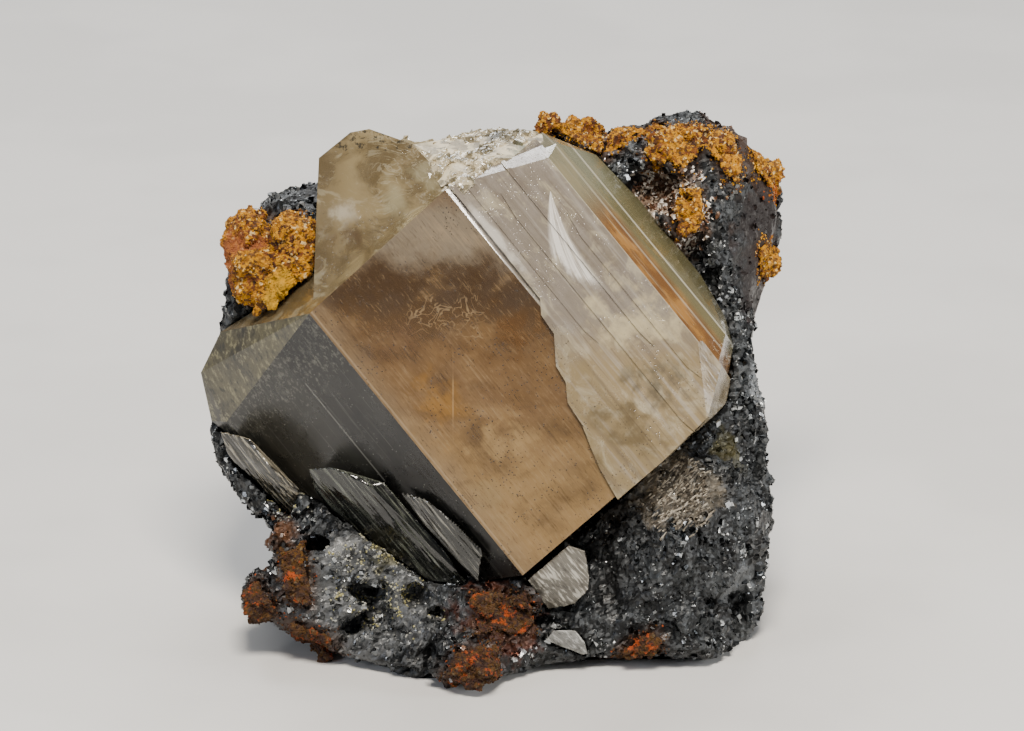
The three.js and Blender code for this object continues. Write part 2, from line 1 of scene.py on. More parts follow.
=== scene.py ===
# Hand specimen of phosgenite: a see-through brown prism on granular galena with rusty crusts.
# Lengths are in metres. +X is to the right, -Y towards the viewer, +Z up.
import bpy
import math
from mathutils import Matrix, Vector


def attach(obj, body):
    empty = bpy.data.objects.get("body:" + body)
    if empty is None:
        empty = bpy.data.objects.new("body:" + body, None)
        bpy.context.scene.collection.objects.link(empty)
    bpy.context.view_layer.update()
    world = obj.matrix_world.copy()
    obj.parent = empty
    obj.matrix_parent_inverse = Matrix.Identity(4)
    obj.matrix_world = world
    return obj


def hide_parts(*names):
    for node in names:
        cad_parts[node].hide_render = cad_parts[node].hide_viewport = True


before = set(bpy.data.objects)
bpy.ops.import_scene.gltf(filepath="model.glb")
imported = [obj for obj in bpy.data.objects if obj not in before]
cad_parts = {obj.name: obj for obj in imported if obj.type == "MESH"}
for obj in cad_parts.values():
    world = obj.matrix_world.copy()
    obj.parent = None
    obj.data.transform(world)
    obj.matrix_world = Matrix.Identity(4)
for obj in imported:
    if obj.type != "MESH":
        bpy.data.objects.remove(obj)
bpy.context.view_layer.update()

# Galena
# A broken lump of lead sulphide: dull grey grains in blocky steps, with small bright cleavage
# faces, hollows at the lower left, painted shade in its sunken places and stains beside the rusty crusts.
LEAN = math.radians(20)
RIGHT = Vector((1, 0, 0))
UP = Vector((0, math.sin(LEAN), math.cos(LEAN)))
OUT = Vector((0, -math.cos(LEAN), math.sin(LEAN)))
FACE = Vector((0.00185, 0.00191, 0.02669))
ROCK_VOXEL = 0.00044
ROCK_TURN = (0.5, 0.35, 0.9)
GRAIN_FLOOR = 0.0009  # no loose grain sits lower than this
ANY_TURN = ((0, 0, 0), (6.28, 6.28, 6.28))
EASED = {"interpolation_type": "SMOOTHSTEP"}
RUSTY = sorted(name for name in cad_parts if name.startswith("limonite"))


def on_face(u, v, w=0.0):
    """A place in mm right, up and out of the specimen's leaning face, as metres."""
    return FACE + 0.001 * (u * RIGHT + v * UP + w * OUT)


def colour(text):
    """An sRGB hex colour as linear values."""
    parts = [int(text[i:i + 2], 16) / 255 for i in (1, 3, 5)]
    return (*[c / 12.92 if c <= 0.04045 else ((c + 0.055) / 1.055) ** 2.4 for c in parts], 1.0)


def add(tree, kind, settings, inputs, out=0):
    """Adds one node with its settings, values and links, and gives back one of its outputs."""
    made = tree.nodes.new(kind)
    for name, value in settings.items():
        setattr(made, name, value)
    for name, value in inputs.items():
        if isinstance(value, bpy.types.NodeSocket):
            tree.links.new(value, made.inputs[name])
        else:
            made.inputs[name].default_value = value
    return made.outputs[out]


def drift(tree, where, sizes, detail=3.0, rough=0.55, warp=0.0):
    """Soft uneven change over a surface, with features of the given size in each direction."""
    sizes = sizes if isinstance(sizes, tuple) else (sizes,) * 3
    placed = add(tree, "ShaderNodeVectorMath", {"operation": "DIVIDE"}, {0: where, 1: sizes})
    return add(tree, "ShaderNodeTexNoise", {}, {
        "Vector": placed, "Scale": 1.0, "Detail": detail, "Roughness": rough, "Distortion": warp})


def broken_into(tree, where, size, out="Color", metric="EUCLIDEAN", turn=(0, 0, 0)):
    """A surface broken into grains of one size: a value for each grain, or the way to its middle."""
    turned = add(tree, "ShaderNodeVectorRotate", {"rotation_type": "EULER_XYZ"},
                 {"Vector": where, "Rotation": turn})
    return add(tree, "ShaderNodeTexVoronoi", {"distance": metric},
               {"Vector": turned, "Scale": 1 / size}, out)


def veil(tree, base, tone, value, low, high, most=1.0):
    """Lays a colour over another as a value runs from low to high."""
    share = add(tree, "ShaderNodeMapRange", EASED, {0: value, 1: low, 2: high, 4: most})
    return add(tree, "ShaderNodeMix", {"data_type": "RGBA"}, {0: share, 6: base, 7: colour(tone)}, 2)


def patch(tree, where, centre, reach, wobble, ragged=1.3, soft=0.45):
    """A soft ragged patch about a place: one inside and nought outside."""
    reach = reach if isinstance(reach, tuple) else (reach,) * 3
    away = add(tree, "ShaderNodeVectorMath", {"operation": "SUBTRACT"}, {0: where, 1: centre})
    away = add(tree, "ShaderNodeVectorMath", {"operation": "DIVIDE"}, {0: away, 1: reach})
    away = add(tree, "ShaderNodeVectorMath", {"operation": "LENGTH"}, {0: away}, "Value")
    away = add(tree, "ShaderNodeMath", {"operation": "MULTIPLY_ADD"}, {0: wobble, 1: ragged, 2: away})
    edge = 1 + 0.5 * ragged
    return add(tree, "ShaderNodeMapRange", EASED, {0: away, 1: edge - soft, 2: edge, 3: 1.0, 4: 0.0})


def material_with(name, fill):
    """A new material whose shader takes the values and links that fill gives for it."""
    made = bpy.data.materials.new(name)
    made.use_nodes = True
    tree = made.node_tree
    skin = tree.nodes["Principled BSDF"]
    for socket, value in fill(tree).items():
        if isinstance(value, bpy.types.NodeSocket):
            tree.links.new(value, skin.inputs[socket])
        else:
            skin.inputs[socket].default_value = value
    return made


def only(piece):
    """Leaves one object selected and active."""
    bpy.ops.object.select_all(action="DESELECT")
    piece.select_set(True)
    bpy.context.view_layer.objects.active = piece


def piece_from(mesh, name):
    """A new piece with a mesh of its own."""
    piece = bpy.data.objects.new(name, mesh.copy())
    bpy.context.scene.collection.objects.link(piece)
    piece.data.materials.clear()
    only(piece)
    return piece


def copy_of(node, name):
    """A merged copy of a CAD node under a new name."""
    piece = piece_from(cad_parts[node].data, name)
    bpy.ops.object.mode_set(mode="EDIT")
    bpy.ops.mesh.select_all(action="SELECT")
    bpy.ops.mesh.remove_doubles(threshold=1e-6)
    bpy.ops.mesh.normals_make_consistent(inside=False)
    bpy.ops.object.mode_set(mode="OBJECT")
    return piece


def remesh(piece, voxel):
    """Rebuilds a piece in even small quads."""
    only(piece)
    made = piece.modifiers.new("remesh", "REMESH")
    made.mode = "VOXEL"
    made.voxel_size = voxel
    bpy.ops.object.modifier_apply(modifier=made.name)


def reshape(piece, steps, *materials):
    """Runs a geometry tree on a piece, keeps what it makes and gives it its materials."""
    tree = bpy.data.node_groups.new("shape", "GeometryNodeTree")
    tree.interface.new_socket("Geometry", in_out="INPUT", socket_type="NodeSocketGeometry")
    tree.interface.new_socket("Geometry", in_out="OUTPUT", socket_type="NodeSocketGeometry")
    start = tree.nodes.new("NodeGroupInput").outputs[0]
    tree.links.new(steps(tree, start), tree.nodes.new("NodeGroupOutput").inputs[0])
    made = piece.modifiers.new("shape", "NODES")
    made.node_group = tree
    only(piece)
    bpy.ops.object.modifier_apply(modifier=made.name)
    piece.data.materials.clear()
    for one in materials:
        piece.data.materials.append(one)


def pushed(tree, shape, by):
    """Moves a surface along its normal and keeps the distance as an attribute."""
    normal = add(tree, "GeometryNodeInputNormal", {}, {})
    move = add(tree, "ShaderNodeVectorMath", {"operation": "SCALE"}, {0: normal, "Scale": by})
    moved = add(tree, "GeometryNodeSetPosition", {}, {0: shape, "Offset": move})
    return add(tree, "GeometryNodeStoreNamedAttribute", {"data_type": "FLOAT", "domain": "POINT"},
               {0: moved, "Name": "relief", "Value": by})


def summed(tree, *parts):
    """Uneven values between nought and one as one height, each with its own depth."""
    total = 0.0
    for value, depth in parts:
        centred = add(tree, "ShaderNodeMath", {"operation": "SUBTRACT"}, {0: value, 1: 0.5})
        total = add(tree, "ShaderNodeMath", {"operation": "MULTIPLY_ADD"}, {0: centred, 1: depth, 2: total})
    return total


def scattered(tree, shape, grain, density, low, high, seed, share=1.0, turns=ANY_TURN):
    """Grains set over a surface at random, half sunk, turned and sized at random."""
    spots = add(tree, "GeometryNodeDistributePointsOnFaces", {},
                {"Mesh": shape, "Density": density, "Seed": seed})
    place = add(tree, "GeometryNodeInputPosition", {}, {})
    height = add(tree, "ShaderNodeSeparateXYZ", {}, {0: place}, 2)
    above = add(tree, "ShaderNodeMath", {"operation": "GREATER_THAN"}, {0: height, 1: GRAIN_FLOOR})
    share = add(tree, "ShaderNodeMath", {"operation": "MULTIPLY"}, {0: share, 1: above})
    draw = add(tree, "FunctionNodeRandomValue", {"data_type": "FLOAT"}, {"Seed": seed + 3}, 1)
    kept = add(tree, "ShaderNodeMath", {"operation": "LESS_THAN"}, {0: draw, 1: share})
    turn, size = [
        add(tree, "FunctionNodeRandomValue", {"data_type": "FLOAT_VECTOR"},
            {0: least, 1: most, "Seed": seed + i})
        for i, (least, most) in enumerate((turns, (low, high)), 1)]
    placed = add(tree, "GeometryNodeInstanceOnPoints", {}, {
        "Points": spots, "Instance": grain, "Rotation": turn, "Scale": size, "Selection": kept})
    return add(tree, "GeometryNodeRealizeInstances", {}, {0: placed})


def broken(tree, place):
    """How rough the galena is: little on the slab at the right and on a few larger faces."""
    faces = drift(tree, place, 0.005)
    rough = add(tree, "ShaderNodeMapRange", EASED, {0: faces, 1: 0.36, 2: 0.56, 3: 0.25, 4: 1.0})
    slab = patch(tree, place, on_face(29, 13, -8), (0.007, 0.011, 0.013), faces)
    rough = add(tree, "ShaderNodeMath", {"operation": "MULTIPLY_ADD"}, {0: slab, 1: -0.85, 2: rough})
    return add(tree, "ShaderNodeMath", {"operation": "MAXIMUM"}, {0: rough, 1: 0.06})


def rock_relief(tree, shape):
    """Ledges, steps and pits in the galena, and how far each place is from a rusty crust."""
    gap = 1.0
    for node in RUSTY:
        crust = add(tree, "GeometryNodeObjectInfo", {}, {"Object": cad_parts[node]}, "Geometry")
        away = add(tree, "GeometryNodeProximity", {}, {0: crust}, "Distance")
        gap = add(tree, "ShaderNodeMath", {"operation": "MINIMUM"}, {0: gap, 1: away})
    shape = add(tree, "GeometryNodeStoreNamedAttribute", {"data_type": "FLOAT", "domain": "POINT"},
                {0: shape, "Name": "crust gap", "Value": gap})
    place = add(tree, "GeometryNodeInputPosition", {}, {})
    ledges = broken_into(tree, place, 0.0034, metric="CHEBYCHEV", turn=ROCK_TURN)
    steps = broken_into(tree, place, 0.0013, metric="CHEBYCHEV", turn=ROCK_TURN)
    pitted = drift(tree, place, 0.0017, 4.0, 0.72)
    by = summed(tree, (ledges, 0.0012), (steps, 0.0006), (pitted, 0.0019))
    by = add(tree, "ShaderNodeMath", {"operation": "MULTIPLY"}, {0: by, 1: broken(tree, place)})
    return pushed(tree, shape, by)


def galena_look(tree, bright):
    """Lead-grey metal in grains that each catch the light their own way."""
    where = add(tree, "ShaderNodeTexCoord", {}, {}, "Object")
    grain = drift(tree, where, 0.0006, 3.0, 0.65)
    own = broken_into(tree, where, 0.0009 if bright else 0.0004)
    base = veil(tree, colour("#0c0d0e"), "#2f3234", drift(tree, where, 0.005, 5.0, 0.66), 0.42, 0.62)
    base = veil(tree, base, "#606466", drift(tree, where, (0.0016, 0.004, 0.007), 4.0, 0.6), 0.56, 0.7, 0.5)
    base = veil(tree, base, "#4a4d4f", grain, 0.54, 0.74, 0.6)
    base = veil(tree, base, "#0a0b0c", grain, 0.46, 0.34, 0.8)
    # Pale grains: paler cleavage faces, with painted glints of light on them
    base = veil(tree, base, "#c9cdcf" if bright else "#8a8e91", own, 0.64, 0.7, 0.85 if bright else 0.2)
    # Dust in the lower left, rust beside the crusts, the purple-brown film on the right slab
    # and a paler grey patch low on the right, painted glints of light
    wobble = drift(tree, where, 0.0022, 3.0, 0.6)
    for place, reach, film, most in (
            ((-15, -25, 10), 0.010, "#77797a", 0.45), ((-2, -28, 14), 0.006, "#4c2413", 0.8),
            ((30, 13, -8), 0.012, "#241b19", 0.9), ((18, 17, 0), 0.006, "#57402c", 0.6),
            ((-25, -20, 5), 0.005, "#6b4322", 0.6), ((18, -13, 14), 0.006, "#7a7264", 0.6),
            ((-27, 2, 6), 0.006, "#54584f", 0.4), ((10, -30, 8), 0.004, "#7a4a20", 0.5),
            ((-14, -20, 11), 0.003, "#6f6a45", 0.5), ((24, 24, -4), 0.006, "#5a4436", 0.5),
            ((24.4, -24.0, 9), 0.0036, "#7d8184", 0.45), ((27, -2, 0), 0.0035, "#9da1a4", 0.5),
            ((23, -10, 6), 0.0035, "#55502f", 0.6), ((19, -24, 9), 0.003, "#55502f", 0.6)):
        share = patch(tree, where, on_face(*place), reach, wobble)
        base = veil(tree, base, film, share, 0.0, 1.0, most)
    # Painted shade: the sunken places of the rock's relief are darkened
    if not bright:
        depth = add(tree, "ShaderNodeAttribute", {"attribute_name": "relief"}, {}, "Fac")
        base = veil(tree, base, "#08090a", depth, 0.00005, -0.0007, 0.85)
    near = add(tree, "ShaderNodeAttribute", {"attribute_name": "crust gap"}, {}, "Fac")
    near = add(tree, "ShaderNodeMath", {"operation": "MULTIPLY_ADD"}, {0: wobble, 1: 0.003, 2: near})
    base = veil(tree, base, "#352010", near, 0.0032, 0.0015, 0.75)
    height = add(tree, "ShaderNodeMath", {"operation": "ADD"}, {0: grain, 1: own})
    return {
        "Base Color": base, "Metallic": 0.9 if bright else 0.45,
        "Roughness": add(tree, "ShaderNodeMapRange", EASED, {
            0: own, 1: 0.2, 2: 0.8, 3: 0.07 if bright else 0.3, 4: 0.36 if bright else 0.62}),
        "Normal": add(tree, "ShaderNodeBump", {}, {"Strength": 0.5, "Distance": 0.0002, "Height": height})}


rock = copy_of("galena_matrix", "galena_rock")
remesh(rock, ROCK_VOXEL)
reshape(rock, rock_relief, material_with("granular_galena", lambda tree: galena_look(tree, False)))
bpy.ops.object.mode_set(mode="EDIT")
bpy.ops.mesh.select_all(action="SELECT")
bpy.ops.mesh.bisect(plane_co=(0, 0, 0.00002), plane_no=(0, 0, 1), use_fill=True, clear_inner=True)
bpy.ops.object.mode_set(mode="OBJECT")
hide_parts("galena_matrix")
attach(rock, "root")


# Loose pieces to a square metre of rock
CUBES, SPLINTERS, FLAKES, GRAINS, FIBRES = 1200000.0, 2200000.0, 8000000.0, 9000000.0, 5000000.0


def galena_cubes(tree, shape):
    """Small cleavage cubes in herds, few on the smooth faces."""
    place = add(tree, "GeometryNodeInputPosition", {}, {})
    herds = add(tree, "ShaderNodeMapRange", EASED,
                {0: drift(tree, place, 0.006, 3.0), 1: 0.42, 2: 0.62, 3: 0.06, 4: 0.9})
    share = add(tree, "ShaderNodeMath", {"operation": "MULTIPLY"}, {0: herds, 1: broken(tree, place)})
    cube = add(tree, "GeometryNodeMeshCube", {}, {"Size": (1, 1, 1)})
    return scattered(tree, shape, cube, CUBES, (0.00015,) * 3, (0.0007,) * 3, 3, share)


def galena_splinters(tree, shape):
    """Sharp three-sided splinters between the cubes."""
    splinter = add(tree, "GeometryNodeMeshCone", {}, {"Vertices": 3, "Radius Bottom": 0.6, "Depth": 1.0})
    share = broken(tree, add(tree, "GeometryNodeInputPosition", {}, {}))
    return scattered(tree, shape, splinter, SPLINTERS, (0.0001,) * 3, (0.00035,) * 3, 31, share)


# Pale flakes and grains of lead carbonate lie in the hollow at the upper right and the lower left
def pale_flakes(tree, shape):
    """Thin flakes strewn in the hollow at the upper right."""
    place = add(tree, "GeometryNodeInputPosition", {}, {})
    wobble = drift(tree, place, 0.002)
    share = patch(tree, place, on_face(17, 17.2, 0), (0.006, 0.008, 0.006), wobble)
    plate = add(tree, "GeometryNodeMeshCube", {}, {"Size": (1, 1, 0.22)})
    return scattered(tree, shape, plate, FLAKES, (0.0002,) * 3, (0.0007,) * 3, 41, share)


def pale_grains(tree, shape):
    """Round grains in clumps round the hollows at the lower left."""
    place = add(tree, "GeometryNodeInputPosition", {}, {})
    wobble = drift(tree, place, 0.0022)
    share = 0.0
    for spot, reach in (
            ((-14.5, -23, 11), 0.007), ((-9, -29, 12), 0.004),
            ((-20, -26, 9), 0.004), ((-24, -15.5, 5), 0.003)):
        near = patch(tree, place, on_face(*spot), reach, wobble)
        share = add(tree, "ShaderNodeMath", {"operation": "MAXIMUM"}, {0: near, 1: share})
    clumps = add(tree, "ShaderNodeMapRange", EASED, {0: drift(tree, place, 0.0014, 3.0), 1: 0.46, 2: 0.58})
    share = add(tree, "ShaderNodeMath", {"operation": "MULTIPLY"}, {0: share, 1: clumps})
    ball = add(tree, "GeometryNodeMeshIcoSphere", {}, {"Radius": 0.5, "Subdivisions": 1})
    return scattered(tree, shape, ball, GRAINS, (0.00012,) * 3, (0.00042,) * 3, 51, share)


def beige_fibres(tree, shape):
    """A tuft of thin rods that lean one way, beside the large crystal's lower right edge."""
    place = add(tree, "GeometryNodeInputPosition", {}, {})
    wobble = drift(tree, place, 0.002)
    share = patch(tree, place, on_face(18, -13.5, 15), (0.0042, 0.006, 0.006), wobble)
    rod = add(tree, "GeometryNodeMeshCube", {}, {"Size": (1, 1, 1)})
    low, high = (0.00008, 0.00008, 0.0006), (0.00018, 0.00018, 0.0017)
    turns = ((0.1, 0.25, 0.0), (0.9, 1.0, 1.2))
    return scattered(tree, shape, rod, FIBRES, low, high, 61, share, turns)


def carbonate_look(tree, tones, patchiness):
    """White to beige lead carbonate, dull with a soft gleam."""
    where = add(tree, "ShaderNodeTexCoord", {}, {}, "Object")
    own = broken_into(tree, where, patchiness)
    base = veil(tree, colour(tones[0]), tones[1], own, 0.3, 0.5)
    base = veil(tree, base, tones[2], own, 0.56, 0.7)
    gleam = add(tree, "ShaderNodeMapRange", EASED, {0: own, 3: 0.3, 4: 0.6})
    return {"Base Color": base, "Roughness": gleam}


STREWN = [
    ("galena_cubes", galena_cubes, "bright_galena", lambda tree: galena_look(tree, True)),
    ("galena_splinters", galena_splinters, "bright_splinters", lambda tree: galena_look(tree, True)),
    ("pale_flakes", pale_flakes, "white_flakes",
     lambda tree: carbonate_look(tree, ("#5c3d28", "#a3917f", "#e6e1d9"), 0.0005)),
    ("pale_grains", pale_grains, "grey_grains",
     lambda tree: carbonate_look(tree, ("#6f6f68", "#a3a39a", "#968f5c"), 0.0007)),
    ("beige_fibres", beige_fibres, "beige_fibres",
     lambda tree: carbonate_look(tree, ("#565047", "#857c6e", "#b0a899"), 0.0006)),
]
for name, steps, finish, look in STREWN:
    strewn = piece_from(rock.data, name)
    reshape(strewn, steps, material_with(finish, look))
    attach(strewn, "root")

# Large crystal
# One tapering prism, glassy, brown and cloudy from inside, with a paler streaked growth layer,
# a clear side face over dark galena and a white broken margin at its upper end.
ACROSS = 0.775 * RIGHT + 0.632 * UP
LENGTH = -0.632 * RIGHT + 0.775 * UP
EDGE_WEAR = 0.00009
ONE_FACE = math.radians(0.6)  # facets that turn less than this are one crystal face
SHARP = math.radians(14)
CRYSTAL_IOR = 1.9
INNER_TINT, INNER_DENSITY = "#d9c09a", 40.0
MARGIN_VOXEL = 0.00022
PITS = 0.36  # mm from one etched pit to the next


def crystal_places(tree):
    """Places in mm: along has them across, along and out of the crystal, square has them right,
    up and out of the face, and each single one has its own letter."""
    where = add(tree, "ShaderNodeTexCoord", {}, {}, "Object")
    at = {}
    for name, axes, letters in (
            ("along", (ACROSS, LENGTH, OUT), "pqw"), ("square", (RIGHT, UP, OUT), "uvw")):
        at[name] = add(tree, "ShaderNodeMapping", {"vector_type": "TEXTURE"}, {
            "Vector": where, "Location": FACE, "Rotation": Matrix(axes).transposed().to_euler(),
            "Scale": (0.001, 0.001, 0.001)})
        parts = add(tree, "ShaderNodeSeparateXYZ", {}, {0: at[name]}).node.outputs
        at.update(zip(letters, parts))
    return at


def crystal_look(tree, see_through, base_of, rough, gleam=0.4):
    """Adamantine crystal: see-through by transmission, with haze, growth lines and etched pits."""
    at = crystal_places(tree)
    at["lines"] = drift(tree, at["along"], (0.28, 12.0, 0.8), 3.0, 0.6)
    near = broken_into(tree, at["along"], PITS, "Distance")
    holes = add(tree, "ShaderNodeMapRange", EASED, {0: near, 1: 0.12, 2: 0.3, 3: 1.0, 4: 0.0})
    herds = drift(tree, at["along"], 3.4, 5.0, 0.78)
    herds = add(tree, "ShaderNodeMapRange", EASED, {0: herds, 1: 0.48, 2: 0.58})
    at["pits"] = add(tree, "ShaderNodeMath", {"operation": "MULTIPLY"}, {0: holes, 1: herds})
    at["wobble"] = drift(tree, at["along"], 3.0, 4.0, 0.6)
    height = add(tree, "ShaderNodeMath", {"operation": "MULTIPLY_ADD"},
                 {0: at["pits"], 1: -0.8, 2: at["lines"]})
    return {
        "Base Color": base_of(tree, at), "IOR": CRYSTAL_IOR, "Transmission Weight": see_through,
        "Specular IOR Level": gleam,
        "Roughness": add(tree, "ShaderNodeMapRange", EASED, {
            0: at["wobble"], 1: 0.35, 2: 0.65, 3: rough, 4: rough + 0.14}),
        "Normal": add(tree, "ShaderNodeBump", {}, {"Strength": 0.3, "Distance": 0.00008, "Height": height})}


def painted(tree, base, at, spots):
    """Lays soft patches of colour on the crystal: place, reach, tone and strength."""
    for (u, v), (wide, high), tone, most in spots:
        share = patch(tree, at["square"], (u, v, 15), (wide, high, 14), at["wobble"], 3.4, 1.3)
        base = veil(tree, base, tone, share, 0.0, 1.0, most)
    return base


def fine_line(tree, value, at, half=0.09):
    """A thin line where a value has the given size."""
    off = add(tree, "ShaderNodeMath", {"operation": "SUBTRACT"}, {0: value, 1: at})
    off = add(tree, "ShaderNodeMath", {"operation": "ABSOLUTE"}, {0: off})
    return add(tree, "ShaderNodeMapRange", EASED, {0: off, 1: 0.5 * half, 2: 1.5 * half, 3: 1.0, 4: 0.0})


def brown_face(tree, at):
    """Smoky brown with amber spots and pale clouds inside, finely etched and pitted."""
    slide = add(tree, "ShaderNodeMath", {"operation": "MULTIPLY_ADD"},
                {0: at["wobble"], 1: 7.0, 2: at["v"]})
    base = veil(tree, colour("#74593a"), "#453320", slide, 4.0, 12.0, 0.95)
    base = veil(tree, base, "#967a52", slide, 1.0, -10.0)
    smoke = drift(tree, at["square"], (6.0, 4.0, 9.0), 4.0, 0.55, 0.3)
    base = veil(tree, base, "#4d3b27", smoke, 0.56, 0.28, 0.5)
    base = veil(tree, base, "#a8895d", smoke, 0.5, 0.76, 0.4)
    # A white cloud lies across the upper corner, with a browner tip above it
    base = veil(tree, base, "#8c7f6b", slide, 12.6, 17.2, 0.85)
    base = veil(tree, base, "#6c5841", slide, 19.0, 22.0, 0.8)
    base = painted(tree, base, at, (
        ((-7.6, -4.0), (4.2, 5.4), "#9d7338", 0.65), ((0.4, 4.4), (4.6, 5.0), "#634423", 0.7),
        ((-0.5, -8.0), (6.4, 4.0), "#ac8f64", 0.7), ((-3.4, -2.6), (3.0, 3.0), "#5a4632", 0.6),
        ((2.4, -5.4), (3.2, 2.6), "#634d38", 0.6), ((-2.6, -14.8), (5.0, 4.4), "#99835f", 0.6),
        ((-12.0, 2.5), (5.0, 4.0), "#5f4936", 0.6)))
    base = veil(tree, base, "#8f7a5e", at["p"], -10.0, -12.8, 0.5)
    etched = drift(tree, at["along"], (0.22, 1.3, 0.8), 5.0, 0.75, 0.4)
    base = veil(tree, base, "#b39c78", etched, 0.54, 0.66, 0.22)
    base = veil(tree, base, "#382a1b", etched, 0.45, 0.34, 0.4)
    streaks = add(tree, "ShaderNodeMath", {"operation": "MULTIPLY"}, {0: at["lines"], 1: smoke})
    base = veil(tree, base, "#b89f7e", streaks, 0.26, 0.48, 0.25)
    base = veil(tree, base, "#3d2d20", streaks, 0.2, 0.12, 0.35)
    # Curled etch marks under the cloud, and one straight inner crack
    curls = fine_line(tree, drift(tree, at["square"], 2.4, 2.0, 0.6, 1.0), 0.5, 0.014)
    marks = patch(tree, at["square"], (-6.6, 5.6, 15), (6.4, 4.4, 14), at["wobble"], 2.4, 0.8)
    marks = add(tree, "ShaderNodeMath", {"operation": "MULTIPLY"}, {0: marks, 1: curls})
    base = veil(tree, base, "#a8916f", marks, 0.0, 1.0, 0.5)
    base = veil(tree, base, "#bfa988", fine_line(tree, at["p"], -13.0, 0.1), 0.0, 1.0, 0.35)
    crack = patch(tree, at["square"], (-6.3, -3.0, 15), (0.13, 8.0, 14), at["wobble"], 1.3, 1.0)
    base = veil(tree, base, "#c2a276", crack, 0.0, 1.0, 0.45)
    return veil(tree, base, "#1d140d", at["pits"], 0.1, 0.8, 0.85)


def pale_band(tree, at):
    """Milky growth layer with grey lines along it, browner and pitted lower down."""
    broad = drift(tree, at["along"], (0.7, 26.0, 2.0), 3.0, 0.6)
    low = add(tree, "ShaderNodeMath", {"operation": "MULTIPLY_ADD"}, {0: at["wobble"], 1: 6.0, 2: at["v"]})
    base = veil(tree, colour("#82786b"), "#92805e", low, 9.0, 2.0)
    marbling = drift(tree, at["along"], (2.0, 3.4, 3.0), 4.0, 0.65, 0.8)
    base = veil(tree, base, "#b3a88c", marbling, 0.48, 0.68, 0.7)
    base = veil(tree, base, "#65584a", broad, 0.48, 0.34, 0.45)
    base = veil(tree, base, "#aca497", broad, 0.54, 0.68, 0.5)
    base = veil(tree, base, "#55463a", at["lines"], 0.42, 0.28, 0.4)
    base = painted(tree, base, at, (
        ((15.4, -2.6), (6.4, 4.4), "#524c41", 0.8), ((12.0, -6.0), (9.0, 6.0), "#695a40", 0.85),
        ((6.0, -9.5), (3.0, 7.0), "#9c8a66", 0.5), ((4.4, 0.0), (0.9, 2.0), "#a5a49f", 0.9),
        ((13.0, 5.5), (7.5, 6.0), "#c9bb95", 0.8)))
    rim = patch(tree, at["along"], (7.3, 12.0, 15), (0.9, 8.0, 14), at["wobble"], 1.6, 0.7)
    base = veil(tree, base, "#d6d0c4", rim, 0.0, 1.0, 0.75)
    # A fan of white feathers opens downwards from the upper end of an inner fracture
    drop = add(tree, "ShaderNodeMath", {"operation": "SUBTRACT"}, {0: 18.8, 1: at["v"]})
    bend = add(tree, "ShaderNodeMath", {"operation": "MULTIPLY_ADD"}, {0: drop, 1: 0.024, 2: 0.07})
    middle = add(tree, "ShaderNodeMath", {"operation": "MULTIPLY_ADD"}, {0: drop, 1: bend, 2: 4.1})
    side = add(tree, "ShaderNodeMath", {"operation": "SUBTRACT"}, {0: at["u"], 1: middle})
    side = add(tree, "ShaderNodeMath", {"operation": "DIVIDE"}, {0: side, 1: drop})
    wide = add(tree, "ShaderNodeMath", {"operation": "ABSOLUTE"}, {0: side})
    fan = add(tree, "ShaderNodeMapRange", EASED, {0: wide, 1: 0.13, 2: 0.28, 3: 1.0, 4: 0.0})
    reach = add(tree, "ShaderNodeMath", {"operation": "MULTIPLY_ADD"}, {0: at["wobble"], 1: 6.0, 2: drop})
    reach = add(tree, "ShaderNodeMath", {"operation": "MULTIPLY_ADD"}, {0: side, 1: -9.0, 2: reach})
    ends = add(tree, "ShaderNodeMapRange", EASED, {0: reach, 1: 11.0, 2: 13.4, 3: 1.0, 4: 0.0})
    begun = add(tree, "ShaderNodeMath", {"operation": "GREATER_THAN"}, {0: drop, 1: 0.2})
    for part in (ends, begun):
        fan = add(tree, "ShaderNodeMath", {"operation": "MULTIPLY"}, {0: fan, 1: part})
    feather = drift(tree, add(tree, "ShaderNodeCombineXYZ", {}, {0: side, 1: drop}), (0.05, 12.0, 1.0))
    feather = add(tree, "ShaderNodeMapRange", EASED, {0: feather, 1: 0.36, 2: 0.58, 3: 0.35})
    fan = add(tree, "ShaderNodeMath", {"operation": "MULTIPLY"}, {0: fan, 1: feather})
    base = veil(tree, base, "#ebe6dc", fan, 0.0, 1.0, 0.95)
    lower = add(tree, "ShaderNodeMapRange", EASED, {0: low, 1: 10.0, 2: 4.0, 3: 0.25})
    pits = add(tree, "ShaderNodeMath", {"operation": "MULTIPLY"}, {0: at["pits"], 1: lower})
    return veil(tree, base, "#3f3122", pits, 0.1, 0.9, 0.85)


def amber_strip(tree, at):
    """Narrow clear faces: amber next to the pale layer, then olive, with painted highlights along the edges
    between.
    """
    glow = drift(tree, at["along"], (1.6, 5.0, 3.0), 3.0)
    base = veil(tree, colour("#8d6236"), "#c18d4c", glow, 0.45, 0.65)
    base = veil(tree, base, "#85805c", at["p"], 18.5, 19.4, 0.9)
    base = veil(tree, base, "#a3a386", at["q"], 4.0, 11.0, 0.8)
    base = veil(tree, base, "#6f6a4c", at["p"], 20.2, 21.8, 0.8)
    # Painted highlights: thin bright lines along the edges between the faces
    for line, strength in ((17.0, 0.8), (20.0, 0.85), (18.6, 0.4)):
        base = veil(tree, base, "#ece6cf", fine_line(tree, at["p"], line), 0.0, 1.0, strength)
    return veil(tree, base, "#ddd5b8", at["lines"], 0.58, 0.72, 0.4)


